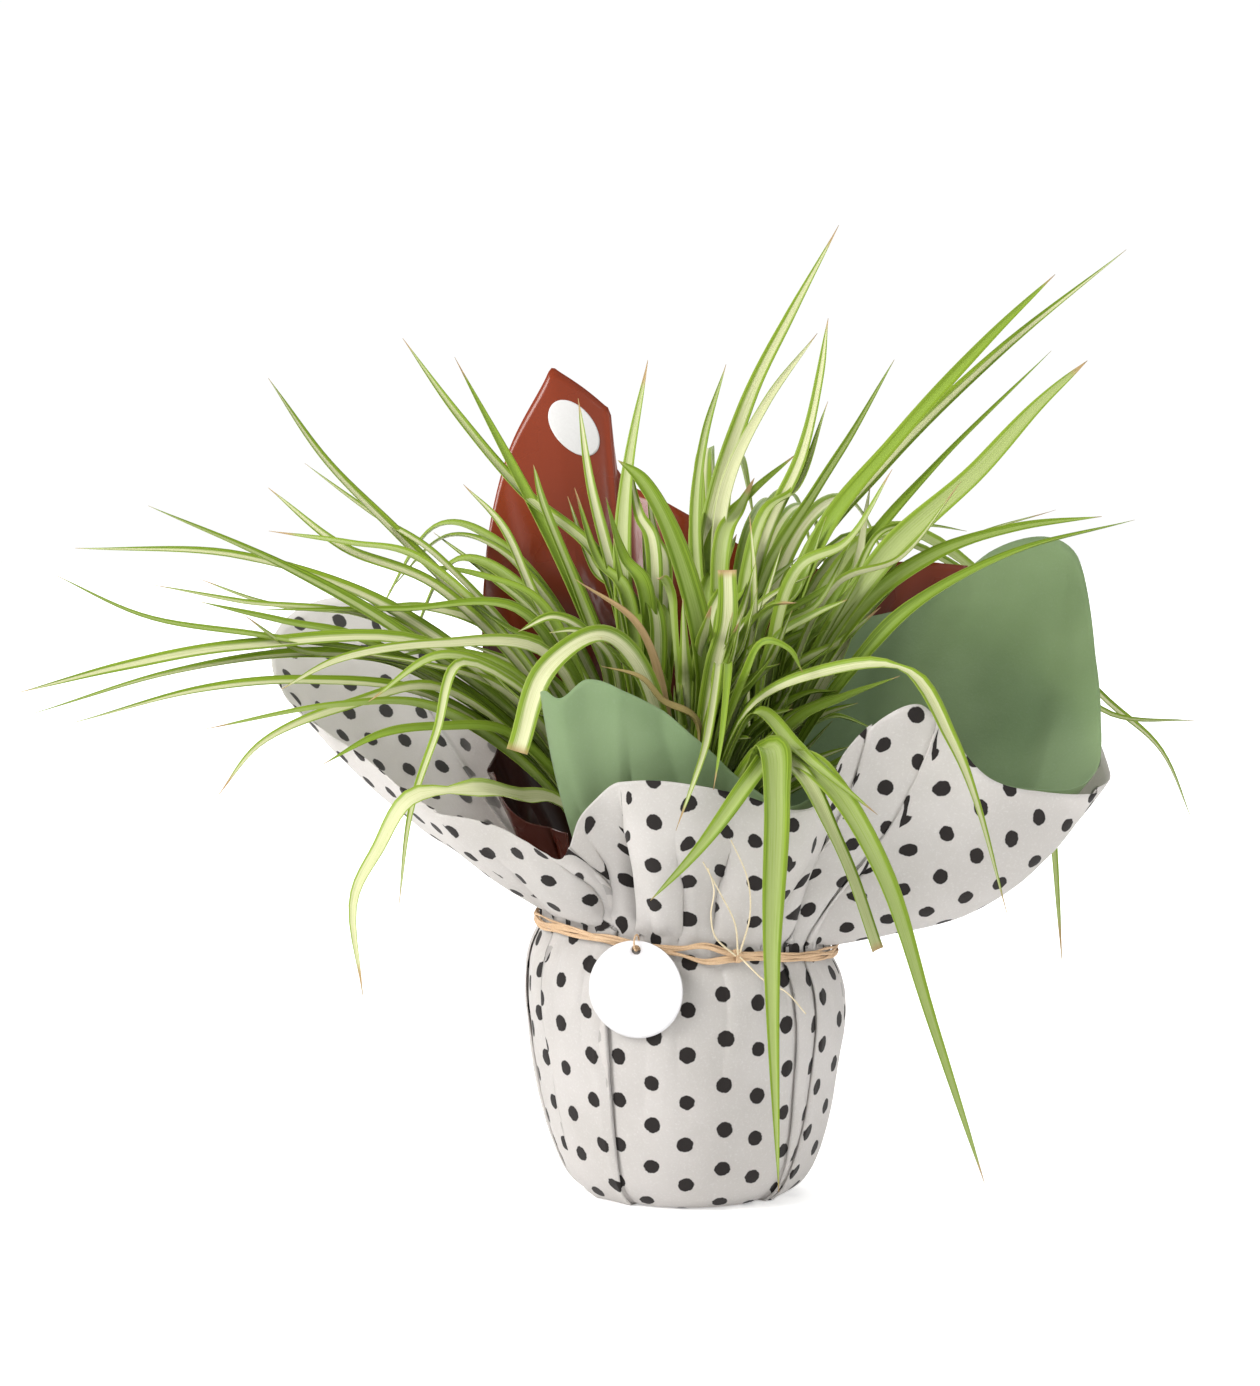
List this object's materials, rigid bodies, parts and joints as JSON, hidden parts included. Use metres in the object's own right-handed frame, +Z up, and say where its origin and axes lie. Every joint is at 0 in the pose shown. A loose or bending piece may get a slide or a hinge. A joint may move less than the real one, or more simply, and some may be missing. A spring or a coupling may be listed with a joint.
{
  "type": "potted spider plant",
  "caption": "Spider plant in a nursery pot, gift-wrapped in a dotted sheet tied at the neck, with coloured inner sheets and arching striped leaves.",
  "frame": {"origin": "on the floor, at the middle of the wrap's flat underside, on the pot's axis", "axes": "+Z up along the pot's axis, -Y the front with the tag, +X to the right seen from the front"},
  "size_m": [0.541, 0.3025, 0.4348],
  "materials": {
    "pot": "satin brown-red nursery pot",
    "soil": "dark moist potting soil",
    "dotted_nonwoven": "matte off-white nonwoven with black dots",
    "green_nonwoven": "matte sage green",
    "red_film": "glossy red-brown film",
    "twine": "tan twine",
    "card": "blank matte white card",
    "sticker_paper": "blank satin white paper",
    "leaf": "satin green leaf with a cream middle stripe"
  },
  "bodies": {
    "root": {"pot": "pot", "soil": "soil", "dotted_wrap": "dotted_nonwoven", "green_sheet": "green_nonwoven", "red_sheet": "red_film", "twine_tie": "twine", "tag": "card", "sticker": "sticker_paper", "crown_west": "leaf", "crown_north_west": "leaf", "crown_north_east": "leaf", "crown_east": "leaf", "crown_south": "leaf"}
  },
  "joints": []
}
